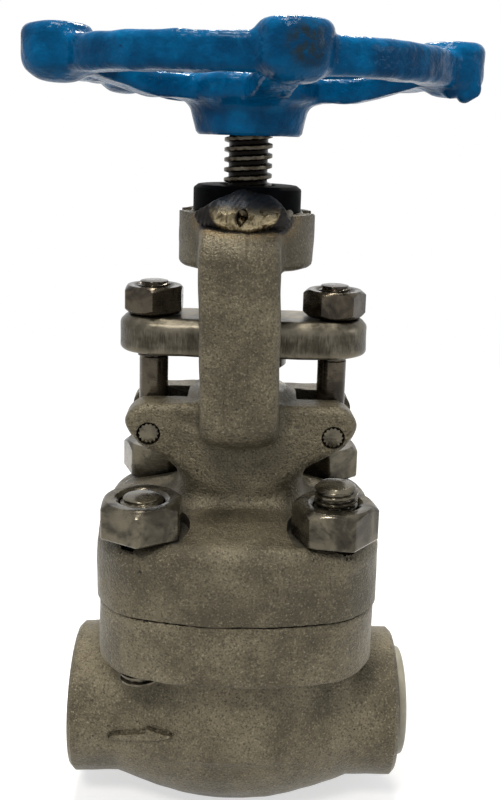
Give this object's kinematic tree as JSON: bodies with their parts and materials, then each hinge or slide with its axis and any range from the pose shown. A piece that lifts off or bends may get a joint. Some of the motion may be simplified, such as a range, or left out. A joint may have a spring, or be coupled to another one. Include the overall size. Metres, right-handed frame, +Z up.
{
  "type": "globe valve",
  "caption": "Forged steel globe valve with socket-weld ends, a bolted bonnet, an outside screw and yoke, and a lobed handwheel on a rising stem.",
  "frame": {"origin": "centre of the flat pad under the body, on the stem's axis", "axes": "+X along the flow from the inlet to the outlet, -Y towards the front that the picture shows, +Z up the stem to the handwheel"},
  "size_m": [0.0977, 0.0983, 0.1832],
  "materials": {
    "forged_steel": "forged stainless steel, shot-blasted, matt with a fine sparkle and dark pits",
    "hard_facing": "ground and lapped hard facing",
    "bright_steel": "machined stainless steel, satin, lightly scratched",
    "gland_steel": "machined steel, darker, polished, with fine vertical tool marks on the flange",
    "stem_steel": "oiled stainless steel with a trapezoidal thread",
    "black_steel": "black oxide, matt",
    "weld_metal": "shiny weld bead with heat tints",
    "blue_paint": "lumpy casting in glossy blue paint with chips, dark specks and a rust stain",
    "white_plastic": "thin translucent off-white polyethylene",
    "graphite": "pressed graphite"
  },
  "bodies": {
    "casing": {"body": "forged_steel", "seat_ring": "hard_facing", "bonnet_gasket": "graphite", "backseat_bush": "bright_steel", "bonnet": "forged_steel", "bonnet_stud_front_left": "bright_steel", "bonnet_stud_front_right": "bright_steel", "bonnet_stud_rear_left": "bright_steel", "bonnet_stud_rear_right": "bright_steel", "bonnet_nut_front_left": "bright_steel", "bonnet_nut_front_right": "bright_steel", "bonnet_nut_rear_left": "bright_steel", "bonnet_nut_rear_right": "bright_steel", "packing_ring_1": "graphite", "packing_ring_2": "graphite", "packing_ring_3": "graphite", "packing_ring_4": "graphite", "packing_ring_5": "graphite", "eyebolt_left": "gland_steel", "eyebolt_right": "gland_steel", "eyebolt_pin_left": "bright_steel", "eyebolt_pin_right": "bright_steel", "yoke_nut": "black_steel", "yoke_nut_weld": "weld_metal"},
    "disc_group": {"disc": "hard_facing", "disc_nut": "bright_steel"},
    "stem_group": {"stem": "stem_steel", "handwheel": "blue_paint", "wheel_washer": "black_steel", "wheel_nut": "black_steel"},
    "gland_group": {"gland": "gland_steel", "gland_flange": "gland_steel"},
    "left_gland_nut": {"gland_nut_left": "gland_steel"},
    "right_gland_nut": {"gland_nut_right": "gland_steel"},
    "end_plug": {"port_cap": "white_plastic"}
  },
  "joints": [
    {"name": "disc_lift", "type": "slide", "parent": "casing", "child": "disc_group", "axis": [0, 0, 1], "range_m": [-0.008, 0.001]},
    {"name": "wheel_turn", "type": "hinge", "parent": "disc_group", "child": "stem_group", "pos_m": [0, 0, 0.15], "axis": [0, 0, 1], "range_deg": [-1280, 160]},
    {"name": "gland_slide", "type": "slide", "parent": "casing", "child": "gland_group", "axis": [0, 0, 1], "range_m": [-0.003, 0.001], "deforming": ["packing_ring_1", "packing_ring_2", "packing_ring_3", "packing_ring_4", "packing_ring_5"]},
    {"name": "gland_nut_left_turn", "type": "hinge", "parent": "gland_group", "child": "left_gland_nut", "pos_m": [-0.02107, 0, 0.124], "axis": [0, 0, 1], "range_deg": [-864, 288]},
    {"name": "gland_nut_right_turn", "type": "hinge", "parent": "gland_group", "child": "right_gland_nut", "pos_m": [0.02107, 0, 0.124], "axis": [0, 0, 1], "range_deg": [-864, 288]},
    {"name": "cap_pull", "type": "slide", "parent": "casing", "child": "end_plug", "axis": [1, 0, 0], "range_m": [0, 0.012]}
  ],
  "couplings": [
    {"joint": "wheel_turn", "follows": "disc_lift", "rad_per_m": 2792.5},
    {"joint": "gland_nut_left_turn", "follows": "gland_slide", "rad_per_m": 5026.5},
    {"joint": "gland_nut_right_turn", "follows": "gland_slide", "rad_per_m": 5026.5}
  ]
}
